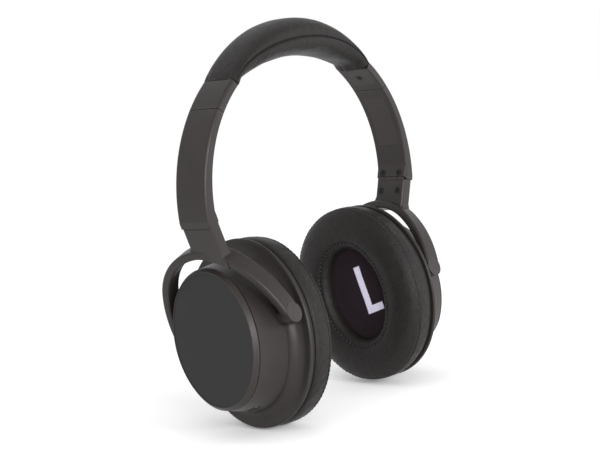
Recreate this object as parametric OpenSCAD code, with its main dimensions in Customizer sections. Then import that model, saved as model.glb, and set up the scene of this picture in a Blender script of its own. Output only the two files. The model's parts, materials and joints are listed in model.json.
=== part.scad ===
// Folding over-ear headset: padded headband, telescoping arms, folding yokes, tilting oval ear cups.
// X is across the head (+X is the wearer's left), -Y is the front, Z is up, the floor is Z = 0.

/* [Headband] */
// Width of the arms and end caps, front to back
arm_w = 20; // [18:0.5:22]
// Height of the datum of the headband arcs above the floor
band_z = 103.5; // [101.5:0.5:106.5]
// Distance of the headband plane in front of the cup centres
band_back = 2.4; // [2:0.2:3]
// Outer radius of the arms and end caps
arm_r = 76.2; // [76:0.1:76.6]
// Width of the headband cushion at its middle
pad_w = 29; // [26:0.5:31]
// Width of the headband cushion where it meets the end caps
pad_end_w = 22; // [21:0.5:24]
// Thickness of the spring strip inside the headband
spring_t = 0.8; // [0.6:0.1:0.9]

/* [Size adjustment] */
// Angle of the seam between end cap and arm, about the band centre
seam_angle = 37.9; // [37:0.1:39]
// Length of the slider strip inside the arm when retracted
tongue_l = 34; // [30:0.5:34]
// Width of the slider strip
tongue_w = 11; // [9:0.5:13]
// Thickness of the slider strip
tongue_t = 0.8; // [0.7:0.05:0.8]
// Pitch of the click notches along the slider strip
notch_pitch = 3; // [2.5:0.25:3.5]

/* [Yoke] */
// Distance of the cup pivot from the middle of the head
pivot_x = 58.2; // [57.5:0.1:59]
// Height of the cup pivot above the floor
pivot_z = 48.3; // [47.5:0.1:48.9]
// Inward slope of the yoke, from the vertical
yoke_tilt = 19; // [18:0.25:20]
// Half height of the outside of the yoke ring
yoke_a = 48.8; // [48.4:0.1:49.4]
// Half width of the outside of the yoke ring, front to back
yoke_b = 38.4; // [38.2:0.1:39]
// Radial thickness of the yoke ring
yoke_t = 4.4; // [4:0.1:4.5]
// Depth of the yoke ring across the head
yoke_w = 9.8; // [9:0.1:10]
// Distance of the middle of the yoke in front of the cup centre, along the pivot axis
yoke_fwd = 1.2; // [0.8:0.1:1.2]

/* [Ear cups] */
// Backward lean of the cups and yokes
cant = 18.5; // [15:0.5:20]
// Rest tilt of the left cup, bottom edge towards the head
left_tilt = 2.6; // [-4:0.1:6]
// Rest tilt of the right cup, bottom edge towards the head
right_tilt = -5.5; // [-7:0.1:4]
// Half height of the cup flange
cup_a = 47.4; // [47:0.1:48]
// Half width of the cup flange, front to back
cup_b = 40.6; // [40:0.1:41]
// Distance of the pivot outward of the flange
pivot_out = 8.2; // [8:0.1:8.6]
// Depth of the cup shell outward of the flange
shell_d = 23.6; // [23:0.1:24.4]
// Thickness of the shell wall
shell_t = 2.2; // [1.8:0.1:2.4]
// Depth of the ear pad
ear_pad_d = 15.3; // [12:0.1:16]
// Width of the ear pad between its outer edge and its opening
ear_pad_w = 19.1; // [17:0.1:19.6]
// Radius of the driver frame
driver_r = 20; // [18:0.5:20.5]

/* [Controls] */
// Travel of the push buttons
button_travel = 0.6; // [0.4:0.1:0.8]
// Height of the buttons above the shell
button_proud = 1.0; // [0.8:0.1:1.2]
// Radius of the bore of the audio socket
jack_r = 1.8; // [1.75:0.05:1.85]

/* [Hidden] */
$fn = 96;

// Colours
plastic = [0.10, 0.095, 0.09];
disc_grey = [0.20, 0.20, 0.20];
leather = [0.07, 0.066, 0.064];
fabric = [0.06, 0.05, 0.075];
ink = [0.75, 0.72, 0.82];
steel = [0.62, 0.62, 0.63];
dark_steel = [0.18, 0.18, 0.19];
copper_green = [0.08, 0.22, 0.14];
foil = [0.55, 0.56, 0.60];

// Small sizes and gaps
seam_gap = 0.3;
edge_r = 1.6;
inner_edge_r = 0.7;
eps = 0.02;
far = 130;

// Band arcs, in the plane of the headband: centre across and above the datum, and radius
outer_c = [6.4, 9.3];
inner_c = [9.3, 12.2];
inner_r = 67.4;
mid_c = [7.8, 10.7];
strip_r = 73.0;
cap_top_angle = 51.7;
// Cushion arcs, centred on the head
crest_c = 27.5;
crest_r = 68;
under_c = -59;
under_r = 135;
spring_c = 4.3;
spring_r = 81.7;
core_t = 1.4;
spring_w = 13;
core_w = 17;
pad_end_x = 53.6;

// Slider strip
slide_angle = 24.3;
strip_up = 13.5;
tongue_up = 1.9;
strip_step = 0.6;
slot_play = 0.1;

// Neck and fold hinge, in the yoke plane measured from the cup pivot
neck_in = -4.0;
neck_out = 3.5;
neck_w = 18.6;
fold_h = 60.45;
block_top = 68.1;
neck_low = 38;
knuckle_r = 2.4;
fold_x = neck_in + knuckle_r;
fold_pin_r = 1.0;
fold_pin_l = 17;
knuckle_half = 4.3;
knuckle_play = 0.3;
pin_play = 0.05;
relief_angle = 27;

// Screws
screw_r = 1.9;
screw_h = 0.9;
screw_shaft_r = 0.8;
screw_l = 3.0;

// Yoke ring and pivots
tip_r = yoke_w / 2;
ring_in = -0.3;
fillet_front = [-9.3, 46.4, 4];
fillet_rear = [9.3, 50.3, 3];
pin_r = 1.6;
pin_in = 28.5;
pin_end = 37.2;
pocket_r = 5.7;
pocket_gap = 0.55;
boss_r = 3.6;
boss_gap = 0.4;

// Cup shell
flange_t = 1.8;
waist_u = -9.3;
waist_r = 6.0;
waist_t = flange_t + waist_r;
top_u = -12.4;
disc_u = -14.6;
bezel_foot = 0.4;
bezel_d = 2.9;
baffle_t = 1.2;
pad_gap = 2.5;
fabric_at = -8.6;
fabric_t = 0.8;
mark_t = 0.25;

// Controls on the shell wall
control_t = 14;
wall_draft = atan2(waist_u - top_u, shell_d - waist_t);
wall_u = waist_u - (control_t - waist_t) * tan(wall_draft);
button_l = 6.5;
button_w = 5;
button_d = 4.6;
button_lip = 0.9;
button_play = 0.25;

// Ovals are four tangent arcs whose centres make 3-4-5 triangles
function oval_h(a, b) = 1.5 * (a - b);
function oval_k(a, b) = 2 * (a - b);

// ---------- placing ----------

module on_side(s) {
    if (s > 0) children();
    else mirror([1, 0, 0]) children();
}

module at_band(c = [0, 0]) translate([c[0], -band_back, band_z + c[1]]) rotate([90, 0, 0]) children();

module at_neck() translate([pivot_x, -band_back, pivot_z]) rotate([0, yoke_tilt, 0]) children();

module at_yoke() translate([pivot_x, 0, pivot_z]) rotate([-cant, 0, 0]) rotate([0, yoke_tilt, 0]) children();

module at_cup(s) {
    t = s > 0 ? left_tilt : right_tilt;
    translate([pivot_x, 0, pivot_z])
        rotate([-cant, 0, 0])
            rotate([0, t, 0])
                translate([-pivot_out, 0, 0])
                    children();
}

// Turns a form drawn along Z so that it points outward from the head
module outward() rotate([0, 90, 0]) children();

// ---------- plane shapes ----------

module rounded_rect(w, h, r) {
    square([w - 2 * r, h], center = true);
    square([w, h - 2 * r], center = true);
    for (x = [-1, 1])
        for (y = [-1, 1])
            translate([x * (w / 2 - r), y * (h / 2 - r)]) circle(r = r);
}

// Oval made of four tangent arcs, long axis along X, grown by u
module oval(a, b, u) {
    h = oval_h(a, b);
    k = oval_k(a, b);
    xj = h + 0.6 * (a - h + u);
    intersection() {
        translate([0, -k]) circle(r = b + k + u);
        translate([0, k]) circle(r = b + k + u);
        square([2 * xj, 3 * b], center = true);
    }
    for (m = [-1, 1])
        translate([m * h, 0]) circle(r = a - h + u);
}

// Full ring of a profile about (x, y), kept inside the wedge between two rays
module ring_piece(x, y, r, ray0, ray1) {
    intersection() {
        translate([x, y, 0]) rotate_extrude() translate([r, 0]) children();
        translate([x, y, -60]) linear_extrude(120) polygon([[0, 0], ray0, ray0 + ray1, ray1]);
    }
}

// Carries a profile (x = outward from the oval's edge, y = height) all round the oval
module oval_sweep(a, b) {
    h = oval_h(a, b);
    k = oval_k(a, b);
    for (m = [-1, 1]) {
        ring_piece(m * h, 0, a - h, [m * 60, -80], [m * 60, 80]) children();
        ring_piece(0, -m * k, b + k, [-60, m * 80], [60, m * 80]) children();
    }
}

// Carries a profile over the upper half of the oval
module half_sweep(a, b) {
    h = oval_h(a, b);
    k = oval_k(a, b);
    ring_piece(-h, 0, a - h, [-60, -80], [-60, 80]) children();
    for (m = [-1, 1])
        ring_piece(0, -m * k, b + k, [-60, m * 80], [0, m * 80]) children();
}

module cup_oval(u) oval(cup_a, cup_b, u);

module cup_slab(u, t0, t1) outward() translate([0, 0, t0]) linear_extrude(t1 - t0) cup_oval(u);

module cup_sweep() outward() oval_sweep(cup_a, cup_b) children();

// ---------- band arcs ----------

module arc_sweep(c, r, a0, a1)
    at_band(c) rotate(a0) rotate_extrude(angle = a1 - a0) translate([r, 0]) children();

// Sector between two angles about the middle band centre
module sector(a0, a1) {
    at_band(mid_c)
        linear_extrude(3 * arm_w, center = true)
            polygon([[0, 0], for (i = [0:6]) let (a = a0 + (a1 - a0) * i / 6) far * [cos(a), sin(a)]]);
}

// Curved bar shared by the end cap and the arm, rounded on its outer and inner edges
module band_bar(a0, a1) {
    intersection() {
        arc_sweep(outer_c, arm_r, a0 - 12, a1 + 12)
            translate([-10, 0]) rounded_rect(20, arm_w, edge_r);
        arc_sweep(inner_c, inner_r, a0 - 12, a1 + 12)
            translate([10, 0]) rounded_rect(20, arm_w, inner_edge_r);
        sector(a0, a1);
    }
}

// Straight frame of the slider strip: origin on the seam, X outward, Z up along the strip
module at_strip() {
    x = mid_c[0] + strip_r * cos(seam_angle);
    z = band_z + mid_c[1] + strip_r * sin(seam_angle);
    translate([x, -band_back, z])
        rotate([0, -slide_angle, 0])
            children();
}

module strip_slot(l) {
    at_strip()
        translate([-tongue_t / 2 - slot_play, -tongue_w / 2 - slot_play, -l])
            cube([tongue_t + 2 * slot_play, tongue_w + 2 * slot_play, l + 6]);
}

// Part of the strip that follows the headband, starting at angle a0
module strip_arc(a0, grow) {
    arc_sweep(mid_c, strip_r, a0, seam_angle + strip_up)
        square([tongue_t + 2 * grow, tongue_w - strip_step + 2 * grow], center = true);
}

// Straight part of the strip
module tongue(grow) {
    at_strip()
        translate([-tongue_t / 2 - grow, -tongue_w / 2 - grow, -tongue_l])
            cube([tongue_t + 2 * grow, tongue_w + 2 * grow, tongue_l + tongue_up + grow]);
}

// ---------- screws ----------

// Cross-recessed pan screw lying with its head towards +Z at the origin
module screw() {
    difference() {
        union() {
            translate([0, 0, -screw_h]) cylinder(h = screw_h, r = screw_r);
            translate([0, 0, -screw_l]) cylinder(h = screw_l - screw_h + eps, r = screw_shaft_r);
        }
        for (a = [0, 90])
            rotate(a) translate([-1.2, -0.25, -0.5]) cube([2.4, 0.5, 1]);
    }
}

module screw_bore() {
    translate([0, 0, -screw_h]) cylinder(h = 6, r = screw_r + 0.1);
    translate([0, 0, -screw_l]) cylinder(h = screw_l, r = screw_shaft_r);
}

// Point on the inner arc at angle a, with +Z pointing to the head
module on_inner_arc(a, y) {
    translate([inner_c[0] + inner_r * cos(a), -band_back + y, band_z + inner_c[1] + inner_r * sin(a)])
        rotate([0, -90 - a, 0])
            children();
}

cap_screw_a = 45.8;
arm_screw_h = 67.2;
arm_screw_y = 5.4;
neck_screw_h = 53.6;
neck_screw_y = 5.6;

module on_neck_face(h, y) at_neck() translate([neck_in, y, h]) rotate([0, -90, 0]) children();

// ---------- headband ----------

module pad_plan() {
    r = (pad_end_x * pad_end_x + pow((pad_w - pad_end_w) / 2, 2)) / (pad_w - pad_end_w);
    translate([0, -band_back, band_z])
        linear_extrude(110)
            intersection() {
                translate([0, -r + pad_w / 2]) circle(r = r, $fn = 720);
                translate([0, r - pad_w / 2]) circle(r = r, $fn = 720);
            }
}

module arch(c, r) at_band([0, c]) cylinder(h = 3 * arm_w, r = r, center = true, $fn = 256);

module arch_ring(c, r_out, t, w, half_a) {
    at_band([0, c])
        rotate(90 - half_a)
            rotate_extrude(angle = 2 * half_a)
                translate([r_out - t, -w / 2])
                    square([t, w]);
}

module band_spring() color(steel) arch_ring(spring_c, spring_r, spring_t, spring_w, 40.5);

module band_core() color(plastic) arch_ring(spring_c, spring_r - spring_t, core_t, core_w, 35.6);

module pad_wedge() {
    at_band(mid_c)
        linear_extrude(3 * arm_w, center = true)
            polygon([[0, 0], far * [cos(cap_top_angle), sin(cap_top_angle)], [0, 1.4 * far]]);
}

module pad_ends() {
    pad_wedge();
    mirror([1, 0, 0]) pad_wedge();
    translate([-mid_c[0] - 1, -2 * arm_w, band_z + mid_c[1]]) cube([2 * mid_c[0] + 2, 4 * arm_w, far]);
}

// Arched body whose top or bottom edges are rounded: up is 1 for the top skin, -1 for the cushion
module crowned_arch(c, r, r_edge, up) {
    at_band([0, c])
        rotate_extrude()
            translate([r - up * 25, 0])
                rounded_rect(50, pad_w + 2, r_edge);
}

module band_sleeve() color(leather)
    difference() {
        intersection() {
            crowned_arch(crest_c, crest_r, 9, 1);
            pad_plan();
            pad_ends();
        }
        arch(spring_c, spring_r + 0.05);
    }

module band_cushion() color(leather)
    difference() {
        intersection() {
            arch(spring_c, spring_r);
            crowned_arch(under_c, under_r, 6, -1);
            pad_plan();
            translate([-47.5, -2 * arm_w, band_z]) cube([95, 4 * arm_w, far]);
        }
        arch_ring(spring_c, spring_r + 1, 1 + spring_t + core_t + 0.05, core_w + 0.1, 60);
    }

module end_cap(s) color(plastic)
    on_side(s)
        difference() {
            band_bar(seam_angle + 0.12, cap_top_angle - 0.1);
            strip_arc(seam_angle, 0.05);
            tongue(0.05);
            cap_cover_body(0.05);
            on_inner_arc(cap_screw_a, 0) screw_bore();
            arch_gap();
        }

// Room for the end of the spring strip
module arch_gap() arch_ring(spring_c, spring_r + 0.05, spring_t + 0.1, spring_w + 0.1, 41);

module cap_cover_body(grow) {
    intersection() {
        arc_sweep(inner_c, inner_r, 40.5 - grow, 49.5 + grow)
            translate([0.7, 0]) square([1.4 + 2 * grow, 15 + 2 * grow], center = true);
        sector(20, 60);
    }
}

module cap_cover(s) color(plastic)
    on_side(s)
        difference() {
            cap_cover_body(0);
            on_inner_arc(cap_screw_a, 0) screw_bore();
        }

module cap_screws() color(steel)
    for (s = [-1, 1])
        on_side(s) on_inner_arc(cap_screw_a, 0) screw();

module slider(s) color(dark_steel)
    on_side(s)
        difference() {
            union() {
                tongue(0);
                strip_arc(seam_angle + 1, 0);
            }
            for (i = [1:9])
                for (y = [-1, 1])
                    at_strip()
                        translate([0, y * tongue_w / 2, -2 - i * notch_pitch])
                            rotate([0, 90, 0])
                                cylinder(h = 4, r = 0.7, center = true, $fn = 32);
            on_inner_arc(cap_screw_a, 0) cylinder(h = 20, r = screw_shaft_r + 0.15, center = true);
        }

// ---------- arms ----------

module neck_box(x0, x1, w, z0, z1, r) {
    at_neck()
        translate([(x0 + x1) / 2, 0, z0])
            linear_extrude(z1 - z0)
                rounded_rect(x1 - x0, w, r);
}

module fold_cylinder(r, y0, y1) {
    at_neck()
        translate([fold_x, y1, fold_h])
            rotate([90, 0, 0])
                cylinder(h = y1 - y0, r = r);
}

// Wedge cut from the inner side of the seam so that the yoke can turn inward, up (1) or down (-1)
module fold_relief(up) {
    d = 8;
    at_neck()
        translate([fold_x, 0, fold_h])
            rotate([90, 0, 0])
                linear_extrude(3 * arm_w, center = true)
                    polygon([[0, 0], [-d, 0], [-d, up * d * tan(relief_angle)]]);
}

module arm_body() {
    intersection() {
        band_bar(-16, seam_angle - 0.12);
        neck_box(-70, neck_out, arm_w + 0.6, fold_h + seam_gap / 2, fold_h + 60, edge_r);
    }
    intersection() {
        neck_box(neck_in, neck_out - 2.6, arm_w - 1.0, fold_h + seam_gap / 2, block_top, inner_edge_r);
        neck_box(-70, neck_out, arm_w, fold_h, block_top, edge_r);
    }
}

module arm_cover_body(grow) {
    intersection() {
        arc_sweep(inner_c, inner_r, 8 - grow, 33 + grow)
            translate([0.45, 0]) square([0.9 + 2 * grow, 14 + 2 * grow], center = true);
        sector(-20, 60);
    }
}

module arm_screw_places()
    for (y = [-1, 1])
        on_neck_face(arm_screw_h - 3.6, y * arm_screw_y) children();

module arm(s) color(plastic)
    on_side(s)
        difference() {
            union() {
                difference() {
                    arm_body();
                    fold_relief(1);
                    fold_cylinder(knuckle_r + knuckle_play, -knuckle_half, knuckle_half);
                }
                for (y = [knuckle_half + knuckle_play, -8.5])
                    fold_cylinder(knuckle_r, y, y + 8.5 - knuckle_half - knuckle_play);
            }
            fold_cylinder(fold_pin_r, -fold_pin_l / 2, fold_pin_l / 2);
            strip_slot(tongue_l + 0.5);
            arm_cover_body(0.05);
            arm_screw_places() screw_bore();
        }

module arm_cover(s) color(plastic)
    on_side(s)
        arm_cover_body(0);

module arm_screws(s) color(steel)
    on_side(s) arm_screw_places() screw();

module fold_pin(s) color(steel)
    on_side(s) fold_cylinder(fold_pin_r, -fold_pin_l / 2 + 0.1, fold_pin_l / 2 - 0.1);

// ---------- yokes ----------

module at_ring() at_yoke() translate([ring_in, -yoke_fwd, 0]) children();

module yoke_ring() {
    at_ring()
        outward()
            half_sweep(yoke_a, yoke_b)
                translate([-yoke_t / 2, 0]) rounded_rect(yoke_t, yoke_w, 1.3);
    at_ring()
        for (m = [-1, 1])
            translate([0, m * (yoke_b - yoke_t / 2), 0])
                rotate([90, 0, 0])
                    cylinder(h = yoke_t, r = tip_r, center = true);
}

module yoke_hollow() {
    at_ring()
        outward()
            translate([0, 0, -20])
                linear_extrude(40)
                    oval(yoke_a, yoke_b, -yoke_t);
}

// Concave corner between the neck and the ring: f = [edge, height, radius], side -1 in front, 1 behind
module neck_fillet(f, side) {
    at_neck()
        translate([neck_in + 0.6, 0, 0])
            rotate([90, 0, 90])
                linear_extrude(neck_out - neck_in - 1.2)
                    difference() {
                        polygon([
                            [f[0] - side, f[1] - 10], [f[0] - side, f[1]], [f[0] + side * f[2], f[1]],
                            [f[0] + side * f[2] / 2, f[1] - f[2] * 0.9], [f[0] + side * f[2] / 2, f[1] - 10],
                        ]);
                        translate([f[0] + side * f[2], f[1]]) circle(r = f[2]);
                    }
}

module neck_body() {
    difference() {
        intersection() {
            union() {
                neck_box(neck_in, neck_out, neck_w, neck_low, fold_h - seam_gap / 2, edge_r);
                neck_fillet(fillet_front, -1);
                neck_fillet(fillet_rear, 1);
            }
            at_ring() translate([-30, -yoke_b, 0]) cube([60, 2 * yoke_b, 90]);
        }
        yoke_hollow();
        fold_relief(-1);
        for (m = [-1, 1])
            fold_cylinder(knuckle_r + knuckle_play, m > 0 ? knuckle_half : -8.8, m > 0 ? 8.8 : -knuckle_half);
    }
    fold_cylinder(knuckle_r, -knuckle_half, knuckle_half);
}

module yoke(s) color(plastic)
    on_side(s)
        difference() {
            union() {
                yoke_ring();
                neck_body();
            }
            fold_cylinder(fold_pin_r + pin_play, -knuckle_half - 1, knuckle_half + 1);
            for (m = [-1, 1])
                at_yoke()
                    rotate([m * -90, 0, 0])
                        cylinder(h = pin_end + 0.2 - m * yoke_fwd, r = pin_r + pin_play);
            neck_screw_places() screw_bore();
        }

module neck_screw_places()
    for (y = [-1, 1])
        on_neck_face(neck_screw_h, y * neck_screw_y) children();

module neck_screws(s) color(steel)
    on_side(s) neck_screw_places() screw();

module pivot_pins(s) color(steel)
    on_side(s)
        at_cup(s)
            for (m = [-1, 1])
                translate([pivot_out, m * pin_in, 0])
                    rotate([m * -90, 0, 0])
                        cylinder(h = pin_end - m * yoke_fwd - pin_in, r = pin_r);

// ---------- ear cups ----------

module shell_profile() {
    difference() {
        union() {
            translate([waist_u - shell_t, 0]) square([shell_t - waist_u - flange_t / 2, waist_t]);
            translate([-flange_t / 2, flange_t / 2]) circle(r = flange_t / 2);
            polygon([
                [waist_u - shell_t, waist_t], [waist_u, waist_t], [top_u, shell_d], [top_u - shell_t - 1, shell_d],
                [top_u - shell_t + 0.6, shell_d - shell_t],
            ]);
        }
        translate([waist_u + waist_r, waist_t]) circle(r = waist_r);
        translate([waist_u + waist_r, flange_t]) square([5, waist_r]);
    }
}

// Distance from the cup's middle to the inner face of the yoke's tip, behind (m = 1) or in front (m = -1)
function tip_face(m) = yoke_b - m * yoke_fwd - yoke_t;

module shell_body() {
    difference() {
        cup_sweep() shell_profile();
        for (m = [-1, 1])
            translate([pivot_out, m * (tip_face(m) - pocket_gap), 0])
                rotate([m * -90, 0, 0])
                    cylinder(h = 20, r = pocket_r);
    }
    cup_slab(top_u - 0.5, shell_d - shell_t, shell_d);
    for (m = [-1, 1])
        translate([pivot_out, m * 25, 0])
            rotate([m * -90, 0, 0])
                cylinder(h = tip_face(m) - boss_gap - 25, r = boss_r);
}

// Place on the shell wall at angle psi below the rear, with +Z pointing outward
module on_wall(psi) {
    h = oval_h(cup_a, cup_b);
    k = oval_k(cup_a, cup_b);
    side_r = cup_b + k + wall_u;
    end_r = cup_a - h + wall_u;
    on_end = psi > end_psi;
    y = on_end ? end_r * cos(psi) : side_r * cos(psi) - k;
    z = on_end ? -h - end_r * sin(psi) : -side_r * sin(psi);
    translate([control_t, y, z]) rotate([-90 - psi, 0, 0]) rotate([0, wall_draft, 0]) children();
}

// Place on the bottom end of the shell wall
module on_bottom(x) translate([x, 0, -(cup_a + wall_u)]) rotate([180, 0, 0]) children();

end_psi = 36.87;
button_psi = [9, 22, 35];
switch_psi = 62;
action_psi = 24;

module button_hole() {
    translate([0, 0, -shell_t - 1.5])
        linear_extrude(8)
            rounded_rect(button_w + 2 * button_play, button_l + 2 * button_play, 2.4);
}

module button() color(plastic) {
    translate([0, 0, -button_d + button_proud])
        linear_extrude(button_d)
            rounded_rect(button_w, button_l, 2.2);
    translate([0, 0, -button_d + button_proud])
        linear_extrude(0.8)
            rounded_rect(button_w + 2 * button_lip, button_l + 2 * button_lip, 2.6);
}

module switch_hole() translate([0, 0, -shell_t - 1.5]) linear_extrude(8) rounded_rect(3.4, 9.4, 1.6);

module cup_shell(s) color(plastic)
    on_side(s)
        at_cup(s)
            difference() {
                shell_body();
                for (m = [-1, 1])
                    translate([pivot_out, m * pin_in, 0])
                        rotate([m * -90, 0, 0])
                            cylinder(h = 10, r = pin_r);
                if (s < 0) {
                    for (psi = button_psi)
                        on_wall(psi) button_hole();
                    on_wall(switch_psi) switch_hole();
                    on_bottom(control_t)
                        translate([0, 0, -5]) linear_extrude(8) rounded_rect(4.2, 10.2, 2.0);
                } else {
                    on_wall(action_psi) button_hole();
                    on_bottom(control_t) translate([0, 0, -5]) cylinder(h = 8, r = 3.05);
                }
            }

module bezel(s) color(plastic)
    on_side(s)
        at_cup(s)
            cup_sweep()
                polygon([
                    [disc_u, shell_d], [top_u - 1, shell_d], [top_u - 1, shell_d + bezel_foot],
                    [top_u - 0.1, shell_d + bezel_foot], [top_u - 0.1, shell_d + bezel_foot + 0.4],
                    [disc_u + 0.5, shell_d + bezel_d], [disc_u, shell_d + bezel_d],
                ]);

module disc(s) color(disc_grey)
    on_side(s) at_cup(s) cup_slab(disc_u - 0.05, shell_d, shell_d + bezel_d - 0.2);

module baffle(s) color(plastic)
    on_side(s)
        at_cup(s)
            difference() {
                union() {
                    cup_slab(-3.2, -baffle_t, 0);
                    cup_slab(waist_u - shell_t - 0.1, -0.1, 2.4);
                }
                outward() translate([0, 0, -5]) cylinder(h = 10, r = driver_r + 0.05);
            }

module driver_frame(s) color(plastic)
    on_side(s)
        at_cup(s)
            outward()
                rotate_extrude()
                    polygon([
                        [driver_r, -baffle_t], [driver_r, 4], [driver_r - 4, 6], [11, 6], [11, 4.8],
                        [driver_r - 4.6, 4.8], [driver_r - 1.4, 3.4], [driver_r - 1.4, -baffle_t],
                    ]);

module magnet(s) color(steel)
    on_side(s)
        at_cup(s)
            outward()
                difference() {
                    translate([0, 0, 1.5]) cylinder(h = 9.5, r = 10.9);
                    translate([0, 0, 1]) cylinder(h = 4, r = 9.4);
                }

module diaphragm(s) color(foil)
    on_side(s)
        at_cup(s)
            outward()
                rotate_extrude()
                    polygon([
                        [0, -0.9], [9, -0.3], [9, 1.2], [9.2, 1.2], [9.2, -0.3], [14, -1.0],
                        [driver_r - 1.5, -0.5], [driver_r - 1.5, -0.8], [14, -1.3], [9, -0.6], [0, -1.15],
                    ]);

module pad_ring(s) color(plastic)
    on_side(s)
        at_cup(s)
            difference() {
                cup_slab(-1.6, -pad_gap, -baffle_t);
                cup_slab(-17, -pad_gap - 1, 0);
            }

module ear_pad_profile() {
    w = ear_pad_w;
    r = 5;
    d0 = -pad_gap - ear_pad_d;
    difference() {
        union() {
            translate([-0.3 - w, d0 + r]) square([w, ear_pad_d - r]);
            translate([-0.3 - w + r, d0]) square([w - 2 * r, ear_pad_d]);
            for (x = [-0.3 - w + r, -0.3 - r])
                translate([x, d0 + r]) circle(r = r);
        }
        translate([-0.3 - w - 1, fabric_at - 0.05]) square([2.5, 20]);
    }
}

module ear_pad(s) color(leather)
    on_side(s) at_cup(s) cup_sweep() ear_pad_profile();

module ear_fabric(s) color(fabric)
    on_side(s) at_cup(s) cup_slab(-18.05, fabric_at, fabric_at + fabric_t);

// Ear marks, drawn as seen from the head with X towards the wearer's back
mark_h = 26.5;
mark_w = 11.65;
mark_s = 4.06;

module letter_l() {
    translate([-mark_s, 0]) square([mark_s, mark_h]);
    translate([-mark_w, 0]) square([mark_w, mark_s]);
}

bowl_r = 7.5;
counter_r = 3.9;
bowl_c = [6.3, 19];

function bowl_arc(r, a0, a1) = [
    for (i = [0:12])
        let (a = a0 + (a1 - a0) * i / 12)
            bowl_c + r * [cos(a), sin(a)]
];

module letter_r() {
    difference() {
        polygon(concat(
            [[0, 0], [mark_s, 0], [mark_s, 11.5], [6, 11.5], [10.4, 0], [14.9, 0]],
            bowl_arc(bowl_r, -60, 90),
            [[0, mark_h]]
        ));
        polygon(concat(
            [[mark_s, bowl_c[1] - counter_r]],
            bowl_arc(counter_r, -90, 90),
            [[mark_s, bowl_c[1] + counter_r]]
        ));
    }
}

module at_mark(s) {
    at_cup(s)
        translate([fabric_at - mark_t, 0, -12.3])
            rotate([90, 0, 90])
                linear_extrude(mark_t)
                    children();
}

module ear_mark(s) color(ink)
    on_side(s) at_mark(s) {
        if (s > 0) letter_l();
        else translate([-7.4, 0]) letter_r();
    }

// ---------- inside the cups ----------

battery_t = 5.5;
board_t = 1.2;

module battery() color(foil)
    on_side(1) at_cup(1) translate([shell_d - shell_t - battery_t, -15, -12]) cube([battery_t, 30, 24]);

module circuit_board() color(copper_green)
    on_side(-1) at_cup(-1) translate([shell_d - shell_t - board_t, -17, -23]) cube([board_t, 34, 46]);

module jack_socket() color(dark_steel)
    on_side(1)
        at_cup(1)
            on_bottom(control_t)
                difference() {
                    translate([0, 0, -15.2]) cylinder(h = 15, r = 3.0);
                    translate([0, 0, -14.2]) cylinder(h = 15, r = jack_r);
                }

module charge_port() color(steel)
    on_side(-1)
        at_cup(-1)
            on_bottom(control_t)
                difference() {
                    translate([0, 0, -7.7]) linear_extrude(7.4) rounded_rect(3.6, 9.6, 1.7);
                    translate([0, 0, -6.9]) linear_extrude(8) rounded_rect(2.6, 8.4, 1.25);
                }

module wall_button(s, psi) on_side(s) at_cup(s) on_wall(psi) button();

module volume_up_button() wall_button(-1, button_psi[0]);
module play_button() wall_button(-1, button_psi[1]);
module volume_down_button() wall_button(-1, button_psi[2]);
module action_button() wall_button(1, action_psi);

module power_switch() color(plastic)
    on_side(-1)
        at_cup(-1)
            on_wall(switch_psi)
                translate([0, -1.5, 0]) {
                    translate([0, 0, -4.4]) linear_extrude(5.2) rounded_rect(2.8, 4.8, 1.2);
                    translate([0, 0, -4.4]) linear_extrude(0.8) rounded_rect(5, 8, 1.2);
                }

// ---------- nodes ----------

band_spring();
band_core();
band_sleeve();
band_cushion();
end_cap(1);  // end_cap_left
end_cap(-1);  // end_cap_right
cap_cover(1);  // cap_cover_left
cap_cover(-1);  // cap_cover_right
cap_screws();
slider(1);  // slider_left
slider(-1);  // slider_right
arm(1);  // arm_left
arm(-1);  // arm_right
arm_cover(1);  // arm_cover_left
arm_cover(-1);  // arm_cover_right
arm_screws(1);  // arm_screws_left
arm_screws(-1);  // arm_screws_right
fold_pin(1);  // fold_pin_left
fold_pin(-1);  // fold_pin_right
yoke(1);  // yoke_left
yoke(-1);  // yoke_right
neck_screws(1);  // neck_screws_left
neck_screws(-1);  // neck_screws_right
pivot_pins(1);  // pivot_pins_left
pivot_pins(-1);  // pivot_pins_right
cup_shell(1);  // cup_shell_left
cup_shell(-1);  // cup_shell_right
bezel(1);  // bezel_left
bezel(-1);  // bezel_right
disc(1);  // disc_left
disc(-1);  // disc_right
baffle(1);  // baffle_left
baffle(-1);  // baffle_right
driver_frame(1);  // driver_frame_left
driver_frame(-1);  // driver_frame_right
magnet(1);  // magnet_left
magnet(-1);  // magnet_right
diaphragm(1);  // diaphragm_left
diaphragm(-1);  // diaphragm_right
pad_ring(1);  // pad_ring_left
pad_ring(-1);  // pad_ring_right
ear_pad(1);  // ear_pad_left
ear_pad(-1);  // ear_pad_right
ear_fabric(1);  // ear_fabric_left
ear_fabric(-1);  // ear_fabric_right
ear_mark(1);  // ear_mark_left
ear_mark(-1);  // ear_mark_right
battery();
circuit_board();
jack_socket();
charge_port();
volume_up_button();
play_button();
volume_down_button();
action_button();
power_switch();
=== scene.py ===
"""Looks of a folding over-ear headset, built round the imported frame.

Ear pads and headband are padded leatherette skins with seams and stitches, the driver cloths sag and
carry the side marks, and every other piece keeps its CAD shape under a procedural material.
Lengths are in millimetres until they are multiplied by MM.
"""

import json
import math

import bmesh
import bpy
import numpy as np
from mathutils import Matrix, Vector, noise


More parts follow.
